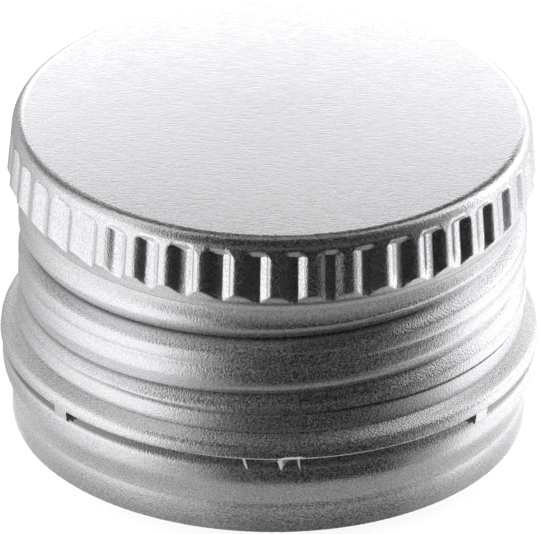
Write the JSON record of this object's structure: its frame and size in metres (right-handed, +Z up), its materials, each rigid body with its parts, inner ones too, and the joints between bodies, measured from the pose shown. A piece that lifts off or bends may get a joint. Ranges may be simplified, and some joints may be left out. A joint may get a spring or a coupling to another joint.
{
  "type": "roll-on screw cap",
  "caption": "Short aluminium screw cap with a knurled edge, a rolled thread and a tamper band on narrow bridges, standing on its open rim.",
  "frame": {"origin": "on the cap's axis, in the plane of the open rim that it stands on", "axes": "+Z up along the axis to the closed top, -Y the front, +X to the right"},
  "size_m": [0.0282, 0.0282, 0.0172],
  "materials": {
    "aluminium": "satin lacquered sheet, brushed on the top and bright on the knurled band",
    "liner": "matte foamed polyethylene"
  },
  "bodies": {
    "root": {"cap_shell": "aluminium", "liner": "liner"}
  },
  "joints": []
}
